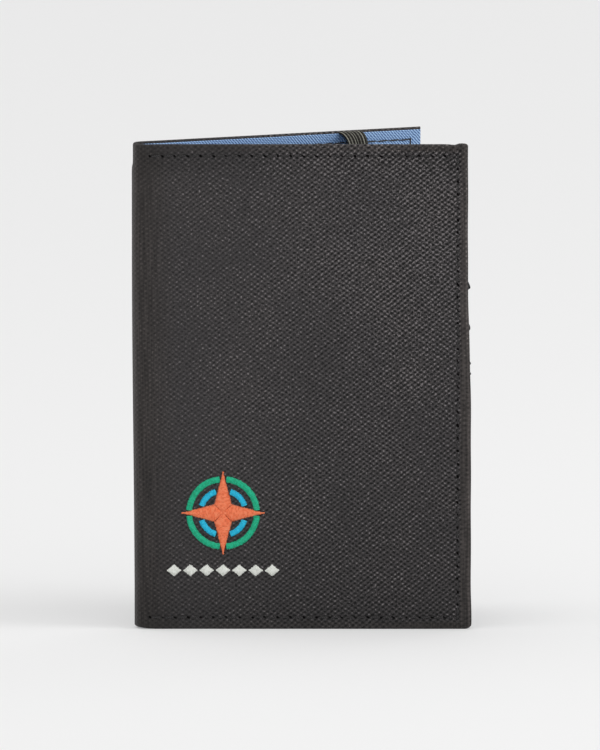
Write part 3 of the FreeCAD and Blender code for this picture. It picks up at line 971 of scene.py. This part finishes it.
def outer_cloth_material():
    """Coarse plain weave in black: a paler network round pits of painted shade, flatter along the hems."""
    look = Surface("black_canvas", sheen=0.05)
    x, y = look.x, look.y
    drift_u = look.drift(0.22)
    drift_v = look.drift(0.31)
    cos_tilt, sin_tilt = math.cos(WEAVE_TILT), math.sin(WEAVE_TILT)
    jog_u = look.drift(0.8)
    jog_v = look.drift(0.95)
    u = (x * cos_tilt + y * sin_tilt) / WARP_PITCH + drift_u * 0.5 + jog_u * 0.6
    v = (y * cos_tilt - x * sin_tilt) / WEFT_PITCH + drift_v * 0.5 + jog_v * 0.8
    grain = look.noise(2.4, 4.0)
    cloud = look.noise(0.045, 2.0)
    lean = look.noise(0.12, 1.0).between(0.35, 0.65, 0.0, 0.28)
    slants = (u * math.pi).step("SINE") * (v * math.pi).step("SINE")
    knots = (u * math.pi).cosine() * (v * math.pi).cosine() + slants * lean
    yarn = look.scatter(look.vector(u.step("ROUND"), v.step("ROUND")))
    # painted shade in the weave's pits, and painted highlights on its crests and in bright specks beside
    # them
    shaded_pits = (knots + (grain - 0.5) * 0.9).between(0.05, 0.8) * (yarn * 0.7 + 0.6)
    highlit_crests = knots.between(-1.0, -0.2, 1.0, 0.0) * (yarn * 0.9 + 0.3)
    painted_glints = (look.noise(2.0, 2.0) + highlit_crests * 0.08).between(0.55, 0.72)
    past_row = x.between(ROW_END + 0.2, ROW_END + 1.2)
    along_rims = (y - HEIGHT / 2).size().between(HEIGHT / 2 - 2.7, HEIGHT / 2 - 1.6)
    past_row = past_row.at_least(along_rims * x.between(60.0, 88.0, 0.45, 1.0))
    near_spine = x.between(3.0, 16.0, 1.0, 0.0)
    # painted raking light: the pits' painted shade deepens to the right, and the weave's contrast and
    # glints are stronger toward the top right
    pit_shade_rightwards = x.between(15.0, 75.0)
    raised = x.between(50.0, 92.0) * y.between(40.0, 120.0)
    # the weave's contrast: flatter on the hems and at the fold, and bolder toward the right and the top as
    # painted raking light
    contrast_and_painted_light = (1.0 - past_row * 0.75) * (1.0 - near_spine * 0.45) * (raised * 0.5 + 1.1)
    contrast_and_painted_light = contrast_and_painted_light * cloud.between(0.25, 0.7, 0.85, 1.15) * x.between(8.0, 60.0, 0.7, 1.0)
    near_top = y.between(HEIGHT - 12.0, HEIGHT - 4.0)
    contrast_and_painted_light = contrast_and_painted_light * (near_top * x.between(22.0, 42.0) * 0.35 + 1.0)
    weave = highlit_crests * 0.24 - shaded_pits * (pit_shade_rightwards * 0.18 + 0.26) + painted_glints * (raised * 0.22 + 0.32)
    weave = (weave + (grain - 0.5) * 0.8) * contrast_and_painted_light + 0.015
    streaks = look.drift(1.0, 2.0, look.vector(x * 1.9, y * 0.06))
    level = look.drift(1.0, 2.0, look.vector(x * 0.05, y * 1.4))
    holes = needle_hole_shade(look)
    # a painted highlight along the free edge, where the cloth rolls round it
    rim = (x - (FREE_EDGE - 0.6)).size().between(0.05, 0.35, 1.0, 0.0)
    tone = weave + 0.5 + (cloud - 0.5) * 0.12 + near_spine.at_least(past_row * 1.3) * streaks * 0.52
    tone = tone + past_row * level * 0.4 + rim * 0.16 - near_spine * x.between(1.5, 4.0) * 0.07
    # painted shade and light: darker toward the bottom and along the top edge, lighter above the middle
    tone = tone + y.between(0.0, 62.0, -0.06, 0.0) + y.between(0.0, 14.0, -0.055, 0.0)
    tone = tone + y.between(60.0, 110.0) * x.between(25.0, 55.0) * 0.035
    tone = tone - near_top * (x.between(10.0, 60.0, 0.09, 0.0) + x.between(68.0, 92.0, 0.0, 0.065))
    # painted shade in the needle holes
    tone = tone * (1.0 - holes)
    look.shade(tone, CHARCOAL, (0.0, 0.0015), (0.2, 0.007), (0.5, 0.035), (0.75, 0.074), (1.0, 0.19))
    worn = (near_spine * 0.6).at_least(past_row * 0.6).at_least(cloud.between(0.4, 0.7) * 0.12)
    look.stain(worn, BROWNED)
    look.gloss((1.0 - holes) * 0.3)
    height = knots * -0.5 * contrast_and_painted_light + 0.5 + grain * 0.3
    return look.finish(grain, 0.62, 0.86, height * (1.0 - holes * 0.6), 0.2)


TWILL_PITCH = 0.94  # of the lining's ribs and of their short floats, along s or z


def lining_material():
    """Fine blue twill: diagonal ribs made of short floats."""
    look = Surface("blue_twill", sheen=0.2, specular=0.3)
    drift = look.drift(0.5, 2.0)
    rib = (look.x + look.y + drift * 0.5).ribs(TWILL_PITCH)
    float_marks = (look.x - look.y + drift * 0.4).ribs(TWILL_PITCH)
    grain = look.noise(2.4, 3.0)
    checks = rib * float_marks + (1.0 - rib) * (1.0 - float_marks)
    strength = look.noise(0.12, 1.0).between(0.4, 0.6, 0.9, 1.7)
    tone = (rib - 0.5) * strength * 0.75 + (checks - 0.5) * 1.3 + (grain - 0.5) * 0.8 + 0.44
    # painted light: lighter near the fold, against the shade that the front cover casts there
    tone = tone + look.x.between(12.0, 38.0, 0.11, 0.0)
    shade, body, light = (0.03, 0.08, 0.22), (0.198, 0.34, 0.62), (0.49, 0.72, 0.99)
    look.paint(tone, (0.0, shade), (0.45, body), (1.0, light))
    return look.finish(grain, 0.5, 0.7, rib * 0.7 + float_marks * 0.3, 0.05)


POCKET_YARN = 0.42
RIPSTOP_PITCH = 5.0  # of the thicker yarns that make a faint grid


def pocket_material():
    """Thin black plain weave, finer than the outer cloth."""
    look = Surface("black_pocket_cloth", sheen=0.15, specular=0.35)
    u, v = look.x / POCKET_YARN, look.y / POCKET_YARN
    knots = (u * math.pi).cosine() * (v * math.pi).cosine() * 0.5 + 0.5
    grain = look.noise(2.5, 3.0)
    across, down = (
        (place / RIPSTOP_PITCH * math.pi).cosine().size().between(0.985, 1.0)
        for place in (look.x, look.y)
    )
    ripstop = across.at_least(down)
    tone = knots * 0.4 + grain * 0.4 + ripstop * 0.2
    look.shade(tone, GREY, (0.1, 0.004), (0.5, 0.026), (0.9, 0.085))
    return look.finish(grain, 0.55, 0.8, knots * 0.6 + ripstop, 0.05)


def binding_material():
    """Ribbed tape: fine cross ribs with a soft shine."""
    look = Surface("black_grosgrain", sheen=0.1, specular=0.4)
    ribs = look.x.ribs(0.8)
    grain = look.noise(4.0, 2.0)
    look.shade(ribs * 0.7 + grain * 0.3, GREY, (0.05, 0.003), (0.5, 0.022), (0.95, 0.08))
    return look.finish(grain, 0.45, 0.7, ribs, 0.12)


def elastic_material():
    """Ribbed olive-grey elastic: painted highlights on its crests, painted shade in its furrows, and fine
    cross threads.
    """
    look = Surface("black_elastic")
    cross = look.y.ribs(0.72)
    grain = look.noise(3.0, 3.0)
    uneven = look.drift(0.7, 1.0, look.vector(look.x, look.y * 0.05))
    strength = look.noise(0.8, 0.0, look.vector(look.x, look.y * 0.02))
    strength = strength.between(0.35, 0.65, 0.65, 1.25)
    # painted highlights on the ribs' crests and painted shade in the furrows, which are also given less
    # shine
    crest = (look.z + uneven * 0.9).between(0.35, 1.0) * strength
    tone = crest * 0.8 + cross * 0.12 + (grain - 0.5) * 0.4 + 0.06
    look.shade(tone, OLIVE, (0.0, 0.004), (0.45, 0.040), (1.0, 0.26))
    look.gloss(crest.between(0.0, 0.7, 0.08, 0.3))
    return look.finish(grain, 0.45, 0.7, cross * 0.5 + grain * 0.5, 0.06)


def thread_material():
    """Black spun thread, with its twist."""
    look = Surface("black_thread", sheen=0.1, specular=0.4)
    twist = (look.x + look.y * 1.4).ribs(0.6)
    grain = look.noise(3.0, 2.0)
    tone = twist * 0.5 + grain * 0.5
    look.shade(tone, CHARCOAL, (0.0, 0.004), (0.5, 0.016), (1.0, 0.06))
    return look.finish(grain, 0.45, 0.7, twist, 0.05)


def floss_material(name, shade, body, light):
    """Glossy embroidery thread: its tone changes a little from stitch to stitch."""
    look = Surface(name, specular=0.4)
    stretched = look.vector(look.x * 0.3, look.y * 4.0, look.z * 20.0)
    fibres = look.noise(1.6, 2.0, stretched)
    tone = (fibres - 0.5) * 1.1 + look.z * 0.5 + 0.28
    look.paint(tone, (0.0, shade), (0.5, body), (1.0, light))
    return look.finish(fibres, 0.32, 0.52, fibres, 0.05)


def board_material():
    """Grey board, with a little mottling."""
    look = Surface("grey_board")
    mottle = look.noise(0.8, 4.0)
    look.shade(mottle, GREY, (0.2, 0.4), (0.8, 0.62))
    return look.finish(mottle, 0.7, 0.9, mottle, 0.03)


# Each floss in shade, in the body of a stitch and in the light.
FLOSS_COLOURS = {
    "orange": ((0.60, 0.10, 0.03), (1.0, 0.21, 0.08), (1.0, 0.38, 0.20)),
    "cyan": ((0.002, 0.26, 0.48), (0.004, 0.52, 0.80), (0.05, 0.72, 0.97)),
    "green": ((0.0, 0.23, 0.115), (0.0, 0.45, 0.23), (0.02, 0.63, 0.37)),
    "white": ((0.58, 0.60, 0.55), (0.84, 0.86, 0.80), (0.97, 0.98, 0.95)),
}
MATERIALS = {
    "outer_cloth": outer_cloth_material(),
    "pocket_cloth": pocket_material(),
    "lining": lining_material(),
    "stiffener": board_material(),
    "elastic": elastic_material(),
    "binding": binding_material(),
    "thread": thread_material(),
}
for colour, tones in FLOSS_COLOURS.items():
    MATERIALS[f"{colour}_embroidery"] = floss_material(f"{colour}_floss", *tones)


def dress(piece, slot, *replaced):
    """Gives a piece its material and hides the CAD nodes it stands for."""
    piece.data.materials.clear()
    piece.data.materials.append(MATERIALS[slot])
    if replaced:
        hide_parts(*replaced)
    return piece


# ---- assembly ----

def as_point(plan, z=0.0):
    return (plan[0] * MM, plan[1] * MM, z * MM)


def bend_at_fold(piece, cover):
    """Works out where a half of the skin's fold starts and ends, and bakes the half's placement into its
    mesh.
    """
    ends, _ = cover.outer_face(np.array([FOLD_END, FOLD_START]))
    as_point(ends[0])
    as_point(ends[1])
    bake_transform(piece)


def build_shell():
    """The outer cloth, lining and stiffener of each half."""
    for side, cover in (("front", FRONT), ("back", BACK)):
        body = f"{side}_cover"
        cloth = outer_cloth(cover, f"outer_cloth_{side}", BACK_OVERHANG if side == "back" else 0.0)
        lining = lining_cloth(cover, f"lining_cloth_{side}")
        for piece, slot, layer in ((cloth, "outer_cloth", "outer"), (lining, "lining", "lining")):
            spine = [f"{layer}_spine"] if side == "front" else []
            dress(piece, slot, f"{layer}_{side}", f"{layer}_{side}_fold", *spine)
            bend_at_fold(piece, cover)
        board = dress(stiffener(cover, f"stiffener_board_{side}"), "stiffener", f"stiffener_{side}")
        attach(board, body)


def build_pockets():
    """The pocket sheets and the tapes over their mouths."""
    for name, (cover, _) in POCKETS.items():
        side = "front" if cover is FRONT else "back"
        body = f"{side}_cover"
        sheet, tape = pocket(name)
        sheet.name, tape.name = f"{name}_sheet", f"{name}_tape"
        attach(dress(sheet, "pocket_cloth", name), body)
        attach(dress(tape, "binding", f"{name}_binding"), body)
        size = (COVER_WIDTH - POCKET_START, top_of(name) - foot_of(name))


def build_stitches():
    """The rows of thread inside and outside both covers."""
    for side, cover in (("front", FRONT), ("back", BACK)):
        body = f"{side}_cover"
        outside, inside = f"edge_stitches_{side}_outside", f"edge_stitches_{side}_inside"
        pockets = "slot" if side == "front" else "sleeve"
        at_side, at_mouths = f"{pockets}_side_stitches", f"{pockets}_mouth_stitches"

        def outer_surface(s, z):
            return float(pucker(s, z))

        def inner_surface(s, z, cover=cover):
            return pile(cover, s, z)

        pieces = [
            edge_stitches(cover, f"{outside}_thread", outer_surface, OUT, OUTSIDE_STITCH),
            edge_stitches(cover, f"{inside}_thread", inner_surface, IN, INSIDE_STITCH),
            *pocket_stitches(cover, f"{at_side}_thread", f"{at_mouths}_thread"),
        ]
        for piece, node in zip(pieces, (outside, inside, at_side, at_mouths)):
            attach(dress(piece, "thread", node), body)


def build_embroidery():
    """The compass star, its two rings and the row of lozenges."""
    patches = [
        (embroidered_star(), "orange_embroidery", "embroidered_star"),
        (embroidered_ring("inner_ring", INNER_RING), "cyan_embroidery", "embroidered_inner_ring"),
        (embroidered_ring("outer_ring", OUTER_RING), "green_embroidery", "embroidered_outer_ring"),
        (embroidered_lozenges(), "white_embroidery", "embroidered_lozenges"),
    ]
    for piece, slot, node in patches:
        piece.name = f"{node}_threads"
        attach(dress(piece, slot, node), "front_cover")


def build_elastic():
    """Both halves of the elastic, each from its end to the middle of the band."""
    plan = BACK.axis + BAND_MIDDLE * BACK.along
    for name, at_top, nodes, fixed, free in (
        ("elastic_upper_half", True, ["elastic_top_end", "elastic_band"], HEIGHT, HEIGHT - BAND_END_HEIGHT),
        ("elastic_lower_half", False, ["elastic_bottom_end"], 0.0, BAND_END_HEIGHT),
    ):
        half = band_half(name, at_top)
        dress(half, "elastic", *nodes)
        as_point(plan, fixed)
        as_point(plan, free)
        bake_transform(half)


# ---- floor, lights and camera ----

VIEW_ELEVATION = math.radians(6.10)
VIEW_DISTANCE = 5.0
VIEW_HEIGHT = 0.215332  # of the picture, in the plane of the front cover
SENSOR = 36.0
AIM = Vector((-0.000857, FRONT_AXIS[1] * MM, 0.07348))


def build_camera():
    data = bpy.data.cameras.new("camera")
    data.sensor_width = SENSOR
    data.lens = SENSOR * VIEW_DISTANCE / VIEW_HEIGHT
    data.clip_start, data.clip_end = 0.1, 100.0
    camera = add_object("camera", data)
    back = Vector((0.0, -math.cos(VIEW_ELEVATION), math.sin(VIEW_ELEVATION)))
    camera.location = AIM + back * VIEW_DISTANCE
    camera.rotation_euler = (-back).to_track_quat("-Z", "Y").to_euler()
    bpy.context.scene.camera = camera


FLOOR_RADIUS = 12.0
FLOOR_SIDES = 96
FLOOR_COLOUR = (0.60, 0.60, 0.60, 1.0)
FLOOR_GLOW = 0.26  # as of a sheet lit from below, which keeps the shadows faint
WHITE = (1.0, 1.0, 1.0, 1.0)


def build_floor():
    """A plain pale floor, wide enough to fill the view."""
    ring = [2 * math.pi * k / FLOOR_SIDES for k in range(FLOOR_SIDES)]
    points = [(math.cos(a) * FLOOR_RADIUS, math.sin(a) * FLOOR_RADIUS, 0.0) for a in ring]
    mesh = bpy.data.meshes.new("floor")
    mesh.from_pydata(points, [], [list(range(FLOOR_SIDES))])
    floor = add_object("floor", mesh)
    floor.location.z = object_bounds()[0].z
    material = bpy.data.materials.new("pale_floor")
    material.use_nodes = True
    shader = material.node_tree.nodes["Principled BSDF"]
    set_inputs(shader, {"Base Color": FLOOR_COLOUR, "Roughness": 0.9})
    set_inputs(shader, {"Specular IOR Level": 0.1, "Emission Color": WHITE})
    set_inputs(shader, {"Emission Strength": FLOOR_GLOW})
    mesh.materials.append(material)


ORIGIN, LIT_PLACE = (0.0, 0.0, 0.0), (0.0, 0.0, 0.07)
BROAD_ANGLE = math.radians(90)
SKY_STRENGTH = 0.30


def add_light(kind, name, place, aim, strength, **shape):
    data = bpy.data.lights.new(name, kind)
    data.energy = strength
    for key, value in shape.items():
        setattr(data, key, value)
    light = add_object(name, data)
    light.location = place
    light.rotation_euler = (Vector(aim) - Vector(place)).to_track_quat("-Z", "Y").to_euler()


def build_lights():
    """An even sky, two broad suns, which light all of the floor alike, and two soft round lamps."""
    world = bpy.data.worlds.new("studio")
    world.use_nodes = True
    background = world.node_tree.nodes["Background"]
    set_inputs(background, {"Color": WHITE, "Strength": SKY_STRENGTH})
    bpy.context.scene.world = world
    add_light("SUN", "front", (0.0, -0.55, 1.1), ORIGIN, 1.3, angle=BROAD_ANGLE)
    add_light("SUN", "back_left", (-0.6, 0.6, 1.1), ORIGIN, 0.8, angle=BROAD_ANGLE)
    add_light("AREA", "right", (1.2, -0.3, 1.0), LIT_PLACE, 7.0, shape="DISK", size=0.9)
    add_light("AREA", "right_back", (1.7, 2.2, 1.6), LIT_PLACE, 5.0, shape="DISK", size=1.4)
    bpy.context.scene.view_settings.view_transform = "Standard"


build_camera()
build_shell()
build_pockets()
build_stitches()
build_embroidery()
build_elastic()
build_floor()
build_lights()
